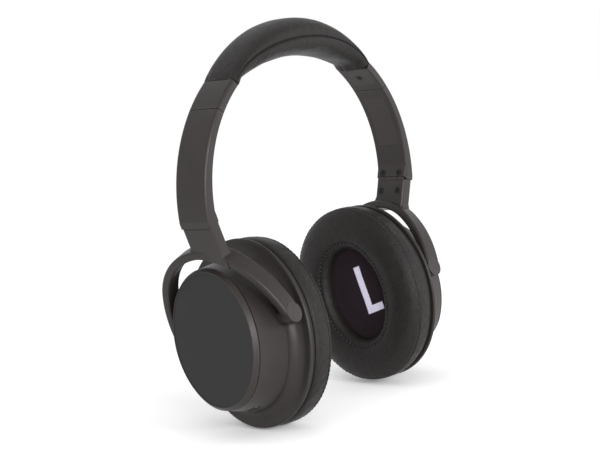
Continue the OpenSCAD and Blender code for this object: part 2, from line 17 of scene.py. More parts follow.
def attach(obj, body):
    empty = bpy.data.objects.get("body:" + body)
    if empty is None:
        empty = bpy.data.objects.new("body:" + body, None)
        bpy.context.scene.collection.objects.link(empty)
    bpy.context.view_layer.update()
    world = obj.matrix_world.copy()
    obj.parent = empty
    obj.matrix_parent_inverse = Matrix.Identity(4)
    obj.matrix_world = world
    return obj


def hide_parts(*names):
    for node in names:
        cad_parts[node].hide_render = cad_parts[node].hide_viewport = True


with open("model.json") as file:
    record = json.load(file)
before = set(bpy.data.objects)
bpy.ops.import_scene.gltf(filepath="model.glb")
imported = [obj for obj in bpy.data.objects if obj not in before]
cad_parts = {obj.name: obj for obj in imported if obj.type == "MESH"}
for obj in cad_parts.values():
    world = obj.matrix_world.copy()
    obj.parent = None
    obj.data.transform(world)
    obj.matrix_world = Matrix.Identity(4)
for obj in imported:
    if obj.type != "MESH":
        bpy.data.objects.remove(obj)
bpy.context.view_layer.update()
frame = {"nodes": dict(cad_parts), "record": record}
MM = 0.001

# ---------- sizes shared with the CAD model, in millimetres and degrees ----------

SIDES = ("left", "right")
# The cup's pivot line: its place in the row frame, its distance out from the flange, its slant and
# the tilt each cup is posed at
PIVOT_X, PIVOT_Z = 58.2, 48.3
PIVOT_OUT = 8.2
CANT = 18.5
TILT = {"left": 2.6, "right": -5.5}
# Half height and half width of the cup's oval, and the height of the driver cloth from the flange
CUP_A, CUP_B = 47.4, 40.6
FABRIC_AT = -8.6
# The middle of the headband's arc
BAND_BACK, BAND_Z = 2.4, 103.5


# ---------- small helpers ----------


def new_object(name, mesh, material, smooth=True):
    o = bpy.data.objects.new(name, mesh)
    bpy.context.scene.collection.objects.link(o)
    if material:
        mesh.materials.clear()
        mesh.materials.append(material)
    if smooth:
        mesh.polygons.foreach_set("use_smooth", [True] * len(mesh.polygons))
    return o


def mesh_of(name, points, faces):
    mesh = bpy.data.meshes.new(name)
    mesh.from_pydata([tuple(p) for p in points], [], [tuple(int(i) for i in f) for f in faces])
    bm = bmesh.new()
    bm.from_mesh(mesh)
    bmesh.ops.recalc_face_normals(bm, faces=bm.faces)
    bm.to_mesh(mesh)
    bm.free()
    mesh.update()
    return mesh


def apply_modifiers(o):
    graph = bpy.context.evaluated_depsgraph_get()
    mesh = bpy.data.meshes.new_from_object(o.evaluated_get(graph), depsgraph=graph)
    old = o.data
    o.modifiers.clear()
    o.data = mesh
    bpy.data.meshes.remove(old)


def coords(mesh):
    co = np.zeros(len(mesh.vertices) * 3, np.float64)
    mesh.vertices.foreach_get("co", co)
    return co.reshape(-1, 3)


def set_coords(mesh, co):
    mesh.vertices.foreach_set("co", np.asarray(co, np.float64).ravel())
    mesh.update()


def grid_faces(rows, columns, close_rows, close_columns):
    """Quads of a grid of points, point (i, j) being number i * columns + j."""
    last_i = rows if close_rows else rows - 1
    last_j = columns if close_columns else columns - 1
    faces = []
    for i in range(last_i):
        row, next_row = i * columns, (i + 1) % rows * columns
        for j in range(last_j):
            next_j = (j + 1) % columns
            faces.append((row + j, next_row + j, next_row + next_j, row + next_j))
    return faces


def end_caps(rows, columns):
    """The two faces that close a grid tube at its first and its last row."""
    first = tuple(range(columns))[::-1]
    last = tuple((rows - 1) * columns + j for j in range(columns))
    return [first, last]


CLOTH_FRAMES = 20
CLOTH_QUALITY = 6
CLOTH_MASS = 0.15
STRETCH_STIFFNESS, SHEAR_STIFFNESS, BENDING_STIFFNESS = 40, 18, 3.0
TINY = 1e-9


def simulate(o, pinned, pressure, cap, grow):
    """Inflates a mesh as cloth between its pinned points and applies the result.

    No point moves further than cap, and grow is the share by which the cloth is larger than its mesh.
    """
    rest = coords(o.data)
    group = o.vertex_groups.new(name="pin")
    for i, w in enumerate(pinned):
        if w > 0:
            group.add([i], float(w), "REPLACE")
    cloth = o.modifiers.new("cloth", "CLOTH")
    s = cloth.settings
    s.quality = CLOTH_QUALITY
    s.mass = CLOTH_MASS
    s.tension_stiffness = STRETCH_STIFFNESS
    s.compression_stiffness = STRETCH_STIFFNESS
    s.shear_stiffness = SHEAR_STIFFNESS
    s.bending_stiffness = BENDING_STIFFNESS
    s.use_pressure = True
    s.uniform_pressure_force = pressure
    s.vertex_group_mass = "pin"
    s.shrink_min = -grow
    s.effector_weights.gravity = 0.0
    cloth.collision_settings.use_collision = False
    cloth.point_cache.frame_start = 1
    cloth.point_cache.frame_end = CLOTH_FRAMES
    scene = bpy.context.scene
    for f in range(1, CLOTH_FRAMES + 1):
        scene.frame_set(f)
    apply_modifiers(o)
    scene.frame_set(1)
    moved = coords(o.data) - rest
    length = np.linalg.norm(moved, axis=1)
    scale = np.where(length > cap, cap / np.maximum(length, TINY), 1.0)
    set_coords(o.data, rest + moved * scale[:, None])
    o.vertex_groups.clear()


def vertex_normals(mesh):
    n = np.zeros(len(mesh.vertices) * 3, np.float64)
    mesh.vertex_normals.foreach_get("vector", n)
    return n.reshape(-1, 3)


def push_out(o, amount):
    """Moves each point of a grid along its normal by an amount in millimetres.

    Gives back the points and the outward directions as arrays of rows and columns.
    """
    set_coords(o.data, coords(o.data) + vertex_normals(o.data) * (amount.reshape(-1, 1) * MM))
    shape = (*amount.shape, 3)
    return coords(o.data).reshape(shape), vertex_normals(o.data).reshape(shape)


def subdivide_once(o):
    sub = o.modifiers.new("sub", "SUBSURF")
    sub.levels = sub.render_levels = 1
    apply_modifiers(o)


# ---------- materials ----------


class Nodes:
    """Short calls for building a material's node tree."""

    def __init__(self, name):
        self.material = bpy.data.materials.new(name)
        self.material.use_nodes = True
        self.tree = self.material.node_tree
        self.shader = self.tree.nodes["Principled BSDF"]
        self.coords = self.tree.nodes.new("ShaderNodeTexCoord").outputs["Object"]

    def add(self, kind):
        return self.tree.nodes.new(kind)

    def link(self, output, name):
        """Joins an output to a socket of the shader."""
        self.tree.links.new(output, self.shader.inputs[name])

    def set(self, **values):
        """Sets constants of the shader, with _ for each space in a socket's name."""
        for key, value in values.items():
            self.shader.inputs[key.replace("_", " ")].default_value = value

    def noise(self, scale, detail=3.0, rough=0.55):
        n = self.add("ShaderNodeTexNoise")
        n.inputs["Scale"].default_value = scale
        n.inputs["Detail"].default_value = detail
        n.inputs["Roughness"].default_value = rough
        self.tree.links.new(self.coords, n.inputs["Vector"])
        return n.outputs["Fac"]

    def cells(self, scale, vector):
        """Distance to the edge of the nearest cell."""
        n = self.add("ShaderNodeTexVoronoi")
        n.feature = "DISTANCE_TO_EDGE"
        n.inputs["Scale"].default_value = scale
        self.tree.links.new(vector, n.inputs["Vector"])
        return n.outputs["Distance"]

    def ramp(self, value, stops):
        """Stops are (position, colour or grey level)."""
        n = self.add("ShaderNodeValToRGB")
        self.tree.links.new(value, n.inputs["Fac"])
        while len(n.color_ramp.elements) < len(stops):
            n.color_ramp.elements.new(0.5)
        for e, (at, colour) in zip(n.color_ramp.elements, stops):
            e.position = at
            e.color = (*colour, 1) if hasattr(colour, "__len__") else (colour, colour, colour, 1)
        return n.outputs["Color"]

    def math(self, kind, *values):
        """A sum over sockets and constants."""
        n = self.add("ShaderNodeMath")
        n.operation = kind
        for i, v in enumerate(values):
            if hasattr(v, "is_output"):
                self.tree.links.new(v, n.inputs[i])
            else:
                n.inputs[i].default_value = v
        return n.outputs[0]

    def bump(self, height, strength, distance, normal=None):
        n = self.add("ShaderNodeBump")
        n.inputs["Strength"].default_value = strength
        n.inputs["Distance"].default_value = distance
        self.tree.links.new(height, n.inputs["Height"])
        if normal:
            self.tree.links.new(normal, n.inputs["Normal"])
        return n.outputs["Normal"]


def tint(colour, k):
    return tuple(min(1.0, c * k) for c in colour)


def moulded_plastic(
    name, colour, rough, grain=2600.0, grain_depth=0.03 * MM, vary=0.10, edge_wear_and_highlight=0.35
):
    """Satin moulded plastic: spark-eroded grain, faint cloudiness, and paler edges that are partly wear
    and partly a painted highlight.
    """
    m = Nodes(name)
    cloud = m.noise(55.0, 3.0)
    fine = m.noise(grain, 2.0, 0.6)
    base = m.ramp(cloud, [(0.3, tint(colour, 1 - vary)), (0.7, tint(colour, 1 + vary))])
    # Convex edges are painted paler: partly wear, partly a painted edge highlight.
    edge = m.add("ShaderNodeNewGeometry").outputs["Pointiness"]
    worn_and_highlit_edges = m.ramp(edge, [(0.52, 0.0), (0.62, edge_wear_and_highlight)])
    mix = m.add("ShaderNodeMix")
    mix.data_type = "RGBA"
    m.tree.links.new(worn_and_highlit_edges, mix.inputs["Factor"])
    m.tree.links.new(base, mix.inputs["A"])
    mix.inputs["B"].default_value = (*tint(colour, 2.0), 1)
    m.link(mix.outputs["Result"], "Base Color")
    spread = 0.12
    m.link(m.math("MULTIPLY_ADD", m.noise(180.0, 4.0), spread, rough - spread / 2), "Roughness")
    m.link(m.bump(fine, 0.55, grain_depth), "Normal")
    m.set(Specular_IOR_Level=0.30)
    return m.material


def leatherette(name, colour, rough, grain=1050.0):
    """Soft fine-grained leatherette: pebble cells with darker valleys, and fine creases."""
    m = Nodes(name)
    wobble = m.add("ShaderNodeTexNoise")
    wobble.inputs["Scale"].default_value = 500.0
    m.tree.links.new(m.coords, wobble.inputs["Vector"])
    shift = m.add("ShaderNodeVectorMath")
    shift.operation = "MULTIPLY_ADD"
    m.tree.links.new(wobble.outputs["Color"], shift.inputs[0])
    shift.inputs[1].default_value = (0.7 * MM,) * 3
    m.tree.links.new(m.coords, shift.inputs[2])
    pebble = m.cells(grain, shift.outputs[0])
    valley = m.ramp(pebble, [(0.0, 0.0), (0.22, 1.0)])
    crease = m.noise(260.0, 5.0, 0.62)
    cloud = m.noise(38.0, 3.0)
    base = m.ramp(cloud, [(0.3, tint(colour, 0.86)), (0.72, tint(colour, 1.16))])
    darker = m.add("ShaderNodeMix")
    darker.data_type = "RGBA"
    darker.blend_type = "MULTIPLY"
    darker.inputs["Factor"].default_value = 0.45
    m.tree.links.new(base, darker.inputs["A"])
    m.tree.links.new(valley, darker.inputs["B"])
    m.link(darker.outputs["Result"], "Base Color")
    m.link(m.math("MULTIPLY_ADD", crease, 0.22, rough - 0.10), "Roughness")
    first = m.bump(valley, 0.6, 0.10 * MM)
    m.link(m.bump(crease, 0.55, 0.6 * MM, first), "Normal")
    m.set(Specular_IOR_Level=0.23)
    return m.material


def woven(name, colour, pitch=0.55 * MM, sheen=0.35):
    """Fine acoustic cloth in a plain weave."""
    m = Nodes(name)
    split = m.add("ShaderNodeSeparateXYZ")
    m.tree.links.new(m.coords, split.inputs[0])
    turn = 2 * math.pi / pitch
    across = m.math("SINE", m.math("MULTIPLY", split.outputs["Y"], turn))
    along = m.math("SINE", m.math("MULTIPLY", split.outputs["Z"], turn))
    weave = m.math("MULTIPLY", across, along)
    height = m.math("MULTIPLY_ADD", weave, 0.5, 0.5)
    base = m.ramp(height, [(0.0, tint(colour, 0.55)), (1.0, tint(colour, 1.35))])
    m.link(base, "Base Color")
    fuzz = m.noise(3200.0, 2.0)
    first = m.bump(height, 0.6, 0.12 * MM)
    m.link(m.bump(fuzz, 0.4, 0.08 * MM, first), "Normal")
    m.set(Roughness=0.92, Specular_IOR_Level=0.2, Sheen_Weight=sheen, Sheen_Roughness=0.5)
    m.shader.inputs["Sheen Tint"].default_value = (*tint(colour, 6), 1)
    return m.material


def thread(name, colour):
    """Twisted sewing thread."""
    m = Nodes(name)
    twist = m.add("ShaderNodeTexWave")
    twist.wave_type = "BANDS"
    twist.bands_direction = "DIAGONAL"
    twist.inputs["Scale"].default_value = 700.0
    twist.inputs["Distortion"].default_value = 1.0
    m.tree.links.new(m.coords, twist.inputs["Vector"])
    strands = twist.outputs["Fac"]
    m.link(m.ramp(strands, [(0.0, tint(colour, 0.6)), (1.0, tint(colour, 1.3))]), "Base Color")
    m.link(m.bump(strands, 0.6, 0.1 * MM), "Normal")
    m.set(Roughness=0.7, Sheen_Weight=0.2)
    return m.material


def metal(name, colour, rough, brushed=0.0):
    """Metal with fine scratches."""
    m = Nodes(name)
    scratch = m.noise(900.0, 4.0, 0.7)
    m.link(m.ramp(scratch, [(0.3, tint(colour, 0.8)), (0.7, tint(colour, 1.15))]), "Base Color")
    m.link(m.math("MULTIPLY_ADD", scratch, 0.25, rough - 0.1), "Roughness")
    m.link(m.bump(scratch, 0.3, 0.03 * MM), "Normal")
    m.set(Metallic=1.0, Anisotropic=brushed)
    return m.material


def printed_flock(name, colour):
    """Matt print with a short fuzz."""
    m = Nodes(name)
    fuzz = m.noise(2400.0, 3.0)
    m.link(m.ramp(fuzz, [(0.3, tint(colour, 0.86)), (0.7, tint(colour, 1.06))]), "Base Color")
    m.link(m.bump(fuzz, 0.5, 0.1 * MM), "Normal")
    m.set(Roughness=0.85, Specular_IOR_Level=0.2, Sheen_Weight=0.2)
    return m.material


PLASTIC = (0.0185, 0.0150, 0.0138)
DISC_PLASTIC = (0.0125, 0.0121, 0.0124)
# Materials by the slot named in the record
M = {
    "shell_plastic": moulded_plastic("shell_plastic_satin", PLASTIC, 0.40),
    "disc_plastic": moulded_plastic(
        "disc_plastic_matte", DISC_PLASTIC, 0.62,
        grain=4200.0, grain_depth=0.02 * MM, vary=0.03, edge_wear_and_highlight=0.1,
    ),
    "inner_plastic": moulded_plastic("inner_plastic_black", (0.008, 0.008, 0.008), 0.6),
    "leatherette": leatherette("leatherette_soft", (0.0130, 0.0104, 0.0096), 0.45),
    "ear_fabric": woven("ear_cloth", (0.0125, 0.0070, 0.0100)),
    "mark_ink": printed_flock("ear_mark_flock", (0.70, 0.66, 0.80)),
    "spring_steel": metal("spring_steel_brushed", (0.45, 0.45, 0.46), 0.38, 0.4),
    "screw_steel": metal("screw_steel_black", (0.035, 0.034, 0.034), 0.38),
    "slider_steel": metal("slider_steel_black", (0.05, 0.05, 0.052), 0.45),
    "foil": moulded_plastic("foil_film", (0.35, 0.36, 0.38), 0.35),
    "board_green": moulded_plastic("board_solder_mask", (0.012, 0.07, 0.035), 0.35),
}
THREAD = thread("stitch_thread", (0.040, 0.036, 0.034))
DARK_THREAD = thread("stitch_thread_black", (0.0045, 0.0042, 0.0040))
SEAM = leatherette("leatherette_seam", (0.0035, 0.0032, 0.0030), 0.75, 1600.0)

SLOT_OF = {s["node"]: s["material_slot"] for s in frame["record"]["subparts"]}
PORT_STEEL = metal("port_steel_dark", (0.06, 0.06, 0.062), 0.4)
for node, o in frame["nodes"].items():
    o.data.materials.clear()
    o.data.materials.append(PORT_STEEL if node == "charge_port" else M[SLOT_OF[node]])


# ---------- the cup's own frame ----------


def cup_matrix(side):
    """From the cup's frame (outward, back, up; origin on the flange) to the row frame."""
    m = (
        Matrix.Translation((PIVOT_X * MM, 0, PIVOT_Z * MM))
        @ Matrix.Rotation(math.radians(-CANT), 4, "X")
        @ Matrix.Rotation(math.radians(TILT[side]), 4, "Y")
        @ Matrix.Translation((-PIVOT_OUT * MM, 0, 0))
    )
    if side == "right":
        m = Matrix.Diagonal((-1, 1, 1, 1)) @ m
    return m


def oval_points(u, count):
    """Points and outward directions round the four-arc oval grown by u.

    The points are (back, up), evenly spaced, from the top and first towards the back.
    """
    h = 1.5 * (CUP_A - CUP_B)
    k = 2.0 * (CUP_A - CUP_B)
    end_r, side_r = CUP_A - h + u, CUP_B + k + u
    half_end, half_side = math.atan2(0.8, 0.6), math.atan2(0.6, 0.8)
    arcs = [
        ((0.0, h), end_r, math.pi / 2, -half_end),
        ((-k, 0.0), side_r, half_side, -2 * half_side),
        ((0.0, -h), end_r, -half_side, -2 * half_end),
        ((k, 0.0), side_r, math.pi + half_side, -2 * half_side),
        ((0.0, h), end_r, math.pi - half_side, -half_end),
    ]
    lengths = [abs(r * sweep) for _, r, _, sweep in arcs]
    total = sum(lengths)
    points, normals = [], []
    for i in range(count):
        s = total * i / count
        for (centre, r, start, sweep), length in zip(arcs, lengths):
            if s <= length:
                break
            s -= length
        a = start + sweep * s / length
        points.append((centre[0] + r * math.cos(a), centre[1] + r * math.sin(a)))
        normals.append((math.cos(a), math.sin(a)))
    return np.array(points), np.array(normals)


def catmull(points, steps):
    """A closed smooth curve through the points, as an array."""
    p = np.array(points, float)
    n = len(p)
    out = []
    for i in range(n):
        a, b, c, d = p[i - 1], p[i], p[(i + 1) % n], p[(i + 2) % n]
        for j in range(steps):
            t = j / steps
            square, cube = 2 * a - 5 * b + 4 * c - d, 3 * b - a - 3 * c + d
            out.append(0.5 * (2 * b + (c - a) * t + square * t * t + cube * t ** 3))
    return np.array(out)


# Cross-section of the ear pad: (growth of the oval, height from the flange) from the mouth round the
# face and the outside to the back; the two points that stand alone are the inner and the outer seam
PAD_SECTION = [
    (-22.4, -8.9), (-22.6, -11.0), (-22.3, -13.2), (-21.2, -15.2),
    (-19.2, -16.7),
    (-16.0, -17.7), (-11.4, -18.0), (-7.2, -17.4), (-3.6, -15.9), (-1.1, -13.9),
    (-0.15, -12.4),
    (0.0, -10.0), (0.05, -7.6), (-0.2, -5.2), (-0.9, -3.4), (-2.4, -2.75),
    (-9.0, -2.75), (-16.0, -4.6), (-20.6, -7.2),
]
SECTION_STEPS = 3
INNER_SEAM = 4 * SECTION_STEPS
OUTER_SEAM = 10 * SECTION_STEPS
BACK_FROM = 14 * SECTION_STEPS
INNER_DIP, OUTER_DIP = 1.0, 1.2
PAD_ROWS = 300


def pad_mesh():
    """The ear pad in the cup's frame, its rows round the oval and its columns round the section."""
    section = catmull(PAD_SECTION, SECTION_STEPS)
    base, normals = oval_points(0.0, PAD_ROWS)
    columns = len(section)
    dip = np.zeros(columns)
    dip[INNER_SEAM], dip[OUTER_SEAM] = INNER_DIP, OUTER_DIP
    centre = section.mean(axis=0)
    points = np.zeros((PAD_ROWS, columns, 3))
    for j, place in enumerate(section):
        inward = centre - place
        inward = inward / np.linalg.norm(inward)
        u, t = place + inward * dip[j]
        points[:, j, 0] = t
        points[:, j, 1] = base[:, 0] + normals[:, 0] * u
        points[:, j, 2] = base[:, 1] + normals[:, 1] * u
    faces = grid_faces(PAD_ROWS, columns, True, True)
    return mesh_of("ear_pad_cover", points.reshape(-1, 3) * MM, faces), columns


TUBE_SIDES = 6


def tube_along(path, radius, closed=True):
    """Points and faces of a thin tube along a path of points."""
    n = len(path)
    ahead = np.roll(path, -1, axis=0) - np.roll(path, 1, axis=0)
    if not closed:
        ahead[0], ahead[-1] = path[1] - path[0], path[-1] - path[-2]
    ahead /= np.linalg.norm(ahead, axis=1)[:, None]
    side = np.cross(ahead, (1.0, 0.0, 0.0))
    weak = np.linalg.norm(side, axis=1) < 0.2
    side[weak] = np.cross(ahead[weak], (0.0, 1.0, 0.0))
    side /= np.linalg.norm(side, axis=1)[:, None]
    other = np.cross(ahead, side)
    points = []
    for i in range(n):
        for j in range(TUBE_SIDES):
            a = 2 * math.pi * j / TUBE_SIDES
            points.append(path[i] + radius * (math.cos(a) * side[i] + math.sin(a) * other[i]))
    faces = grid_faces(n, TUBE_SIDES, closed, True)
    if not closed:
        faces += end_caps(n, TUBE_SIDES)
    return points, faces


# Rings of one stitch: (place along it, share of its full radius)
STITCH_RINGS = ((-0.5, 0.25), (-0.42, 0.8), (-0.2, 1.0), (0.2, 1.0), (0.42, 0.8), (0.5, 0.25))


def stitches_along(path, up, pitch, length, radius, lift):
    """Points and faces of short rounded stitches lying along a closed path.

    up holds the skin's outward direction at each point, and lift is how far a stitch's middle rises.
    """
    step = np.linalg.norm(np.roll(path, -1, axis=0) - path, axis=1)
    at = np.concatenate([[0], np.cumsum(step)])
    total = at[-1]
    count = int(total / pitch)
    closed = np.vstack([path, path[:1]])
    ups = np.vstack([up, up[:1]])

    def along_path(values, s):
        return np.array([np.interp(s % total, at, values[:, c]) for c in range(3)])

    one_stitch = grid_faces(len(STITCH_RINGS), TUBE_SIDES, False, True)
    one_stitch += end_caps(len(STITCH_RINGS), TUBE_SIDES)
    points, faces = [], []
    for i in range(count):
        middle = (i + 0.5) * total / count
        ring_start = len(points)
        for along, thick in STITCH_RINGS:
            s = middle + along * length
            p = along_path(closed, s)
            q = along_path(closed, s + 0.1 * length)
            n = along_path(ups, s)
            n /= np.linalg.norm(n)
            ahead = (q - p) / max(np.linalg.norm(q - p), TINY)
            side = np.cross(ahead, n)
            side /= np.linalg.norm(side)
            rise = lift * (1 - (2 * along) ** 2)
            for j in range(TUBE_SIDES):
                a = 2 * math.pi * j / TUBE_SIDES
                points.append(p + n * rise + radius * thick * (math.cos(a) * side + math.sin(a) * n))
        faces += [tuple(ring_start + f for f in face) for face in one_stitch]
    return points, faces


def mirrored_copy(mesh, name, matrix):
    """A copy of a mesh carried by a matrix, with its faces turned back if the matrix mirrors."""
    copy = mesh.copy()
    copy.name = name
    copy.transform(matrix)
    if matrix.determinant() < 0:
        copy.flip_normals()
    copy.update()
    return copy


# ---------- ear pads ----------


PAD_PRESSURE, PAD_CAP, PAD_GROW = 4.0, 0.7, 0.004
SEAM_PINNED_SHARE = 0.2


def seam_ripple(i):
    """Long and short waves round the oval, where the leatherette gathers at its seams."""
    a = 2 * math.pi * i / PAD_ROWS
    long_wave = noise.noise(Vector((9 * math.cos(a), 9 * math.sin(a), 3.0)))
    short_wave = noise.noise(Vector((28 * math.cos(a), 28 * math.sin(a), 7.0)))
    return 0.5 * long_wave + 0.8 * short_wave


def make_pad():
    """The skin of an ear pad and the lines of its seams, each as (points, outward directions)."""
    mesh, columns = pad_mesh()
    work = new_object("pad_work", mesh, M["leatherette"])
    pins = np.zeros((PAD_ROWS, columns))
    pins[:, BACK_FROM:] = 1.0
    pins[:, :2] = 1.0
    pins[:, INNER_SEAM] = 1.0
    pins[:, OUTER_SEAM] = 1.0
    simulate(work, pins.ravel(), PAD_PRESSURE, PAD_CAP * MM, PAD_GROW)
    index = np.arange(columns)
    near_inner = np.exp(-(((index - INNER_SEAM) / 3.0) ** 2))
    near_outer = np.exp(-(((index - OUTER_SEAM) / 3.2) ** 2))
    amount = np.zeros((PAD_ROWS, columns))
    for i in range(PAD_ROWS):
        amount[i] = seam_ripple(i) * (0.20 * near_inner + 0.16 * near_outer)
    amount[:, BACK_FROM:] = 0
    amount[:, INNER_SEAM] *= SEAM_PINNED_SHARE
    amount[:, OUTER_SEAM] *= SEAM_PINNED_SHARE
    shape, normals = push_out(work, amount)
    columns_of = {"inner": INNER_SEAM, "beside": OUTER_SEAM - 2, "outer": OUTER_SEAM}
    lines = {name: (shape[:, j], normals[:, j]) for name, j in columns_of.items()}
    subdivide_once(work)
    result = work.data
    bpy.data.objects.remove(work)
    return result, lines


def seam_tube(name, line, radius, closed=True):
    """A thin round seam standing a little out of the skin along a line."""
    points, normals = line
    return mesh_of(name, *tube_along(points + normals * (SEAM_RISE * MM), radius * MM, closed))


def stitch_row(name, line, pitch, length, radius, lift):
    return mesh_of(name, *stitches_along(*line, pitch * MM, length * MM, radius * MM, lift * MM))


SEAM_RISE = 0.30
pad, seams = make_pad()
inner_stitch = stitch_row("inner_stitch", seams["inner"], 2.4, 1.75, 0.27, 0.62)
outer_stitch = stitch_row("outer_stitch", seams["beside"], 2.4, 1.8, 0.22, -0.05)
piping = seam_tube("pad_seam", seams["outer"], 0.5)
mouth_seam = seam_tube("mouth_seam", seams["inner"], 0.42)

for side in SIDES:
    to_row = cup_matrix(side)
    body = f"{side}_cup"
    skin = mirrored_copy(pad, f"ear_pad_cover_{side}", to_row)
    cover = new_object(f"ear_pad_cover_{side}", skin, M["leatherette"])
    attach(cover, body)
    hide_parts(f"ear_pad_{side}")
    for name, mesh, material in (
        ("inner_stitches", inner_stitch, THREAD),
        ("outer_stitches", outer_stitch, DARK_THREAD),
        ("outer_seam", piping, SEAM),
        ("inner_seam", mouth_seam, SEAM),
    ):
        copy = mirrored_copy(mesh, f"{name}_{side}", to_row)
        row = new_object(f"ear_pad_{name}_{side}", copy, material)
        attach(row, body)


# ---------- ear cloth and its mark ----------


CLOTH_INSET = -22.0
CLOTH_SHIFT = -0.15
CLOTH_RINGS, CLOTH_POINTS = 26, 120


def cloth_place(y, z):
    """A point of the cloth over the driver, which is uneven and lifts towards the wearer at its rim."""
    r = math.hypot(y / 18.6, z / 25.4)
    broad = noise.noise(Vector((y * 0.09, z * 0.09, 1.7)))
    small = noise.noise(Vector((y * 0.3, z * 0.3, 5.1)))
    soft = 0.5 * broad + 0.2 * small
    rim = 1.4 * max(0.0, r - 0.78) ** 1.2 * -6.0
    return (FABRIC_AT + (soft * 0.5 + rim) + CLOTH_SHIFT, y, z)


def cloth_mesh():
    rings, count = CLOTH_RINGS, CLOTH_POINTS
    base, _ = oval_points(CLOTH_INSET, count)
    points = [cloth_place(0.0, 0.0)]
    for i in range(1, rings + 1):
        points += [cloth_place(y, z) for y, z in base * (i / rings)]
    faces = [(0, 1 + j, 1 + (j + 1) % count) for j in range(count)]
    for i in range(rings - 1):
        for j in range(count):
            a, b = 1 + i * count + j, 1 + i * count + (j + 1) % count
            faces.append((a, a + count, b + count, b))
    return mesh_of("ear_cloth", np.array(points) * MM, faces)


CLOTH_THICK, MARK_THICK = 0.3, 0.25
MARK_H, MARK_W, MARK_STROKE = 26.5, 11.65, 4.06
MARK_BOTTOM = -12.3
# The round part of the right mark, and the steps of its curve
BOWL_CENTRE, BOWL_R, COUNTER_R, BOWL_STEPS = (6.3, 19.0), 7.5, 3.9, 16
# The right mark's leg, and how far its outline is moved sideways
LEG_TOP, LEG_IN, LEG_FOOT_IN, LEG_FOOT_OUT = 11.5, 6, 10.4, 14.9
RIGHT_SHIFT = -7.4
# The grid that cuts the mark finely enough to bend: 1 mm apart, off the outline's own points
CUT_REACH, CUT_OFFSET = 17, 0.37


def bowl(radius, first, last):
    points = []
    for i in range(BOWL_STEPS + 1):
        a = math.radians(first + (last - first) * i / BOWL_STEPS)
        x, y = BOWL_CENTRE
        points.append((x + radius * math.cos(a), y + radius * math.sin(a)))
    return points


def mark_outlines(side):
    """Closed outlines of the wearer's-side mark in the cup's (back, up) plane."""
    wide = MARK_STROKE
    if side == "left":
        foot = [(0, 0), (MARK_W, 0), (MARK_W, wide), (wide, wide)]
        loops = [foot + [(wide, MARK_H), (0, MARK_H)]]
        turn, shift = -1, 0.0
    else:
        leg = [(0, 0), (wide, 0), (wide, LEG_TOP), (LEG_IN, LEG_TOP)]
        leg += [(LEG_FOOT_IN, 0), (LEG_FOOT_OUT, 0)]
        low, high = BOWL_CENTRE[1] - COUNTER_R, BOWL_CENTRE[1] + COUNTER_R
        outside = leg + bowl(BOWL_R, -60, 90) + [(0, MARK_H)]
        counter = [(wide, low)] + bowl(COUNTER_R, -90, 90) + [(wide, high)]
        loops = [outside, counter]
        turn, shift = 1, RIGHT_SHIFT
    return [[(turn * x + shift, y + MARK_BOTTOM) for x, y in loop] for loop in loops]


def mark_mesh(side):
    """The mark as a thin flocked shape lying on the sagging cloth."""
    curve = bpy.data.curves.new(f"mark_{side}", "CURVE")
    curve.dimensions = "2D"
    curve.fill_mode = "BOTH"
    for loop in mark_outlines(side):
        spline = curve.splines.new("POLY")
        spline.points.add(len(loop) - 1)
        for p, (y, z) in zip(spline.points, loop):
            p.co = (y, z, 0, 1)
        spline.use_cyclic_u = True
    o = bpy.data.objects.new(f"mark_{side}", curve)
    bpy.context.scene.collection.objects.link(o)
    flat = bpy.data.meshes.new_from_object(o.evaluated_get(bpy.context.evaluated_depsgraph_get()))
    bpy.data.objects.remove(o)
    bm = bmesh.new()
    bm.from_mesh(flat)
    bmesh.ops.remove_doubles(bm, verts=bm.verts, dist=1e-4)
    for axis in (0, 1):
        for k in range(-CUT_REACH, CUT_REACH):
            place, normal = [0.0, 0.0, 0.0], [0.0, 0.0, 0.0]
            place[axis], normal[axis] = k + CUT_OFFSET, 1.0
            everything = bm.verts[:] + bm.edges[:] + bm.faces[:]
            bmesh.ops.bisect_plane(bm, geom=everything, plane_co=place, plane_no=normal)
    for v in bm.verts:
        v.co = Vector(cloth_place(v.co.x, v.co.y)) * MM
    result = bpy.data.meshes.new(f"mark_{side}")
    bmesh.ops.recalc_face_normals(bm, faces=bm.faces)
    if sum(f.normal.x * f.calc_area() for f in bm.faces) > 0:
        bmesh.ops.reverse_faces(bm, faces=bm.faces)
    bm.to_mesh(result)
    bm.free()
    return result


for side in SIDES:
    to_row = cup_matrix(side)
    body = f"{side}_cup"
    flat_cloth = cloth_mesh()
    if sum(p.normal.x * p.area for p in flat_cloth.polygons) > 0:
        flat_cloth.flip_normals()
    for name, mesh, slot, thickness, old in (
        ("cloth", flat_cloth, "ear_fabric", CLOTH_THICK, "fabric"),
        ("letter", mark_mesh(side), "mark_ink", MARK_THICK, "mark"),
    ):
        copy = mirrored_copy(mesh, f"ear_{name}_{side}", to_row)
        o = new_object(f"ear_{name}_{side}", copy, M[slot])
        thick = o.modifiers.new("thick", "SOLIDIFY")
        thick.thickness = thickness * MM
        thick.offset = -1 if name == "cloth" else 1
        apply_modifiers(o)
        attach(o, body)
        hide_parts(f"ear_{old}_{side}")

# ---------- headband ----------

# The headband pad lies between two arcs of the band's plane: height of each centre, and radius
CREST_C, CREST_R = 27.5, 68.0
UNDER_C, UNDER_R = -59.0, 135.0
END_ANGLE = 52.6
# Its width at the top and at its ends, and its least thickness at the same places
PAD_W, PAD_END_W = 28.5, 21.6
THIN_TOP, THIN_MORE = 3.0, 4.4
# How square the upper and the lower half of its section are
SLEEVE_POWER, CUSHION_POWER = 2.5, 2.35
BAND_ROWS, BAND_COLUMNS = 150, 33
BAND_PRESSURE, BAND_CAP, BAND_GROW = 2.5, 0.6, 0.003
SEAM_DRAW = 0.06
GATHER_REACH = 4.5


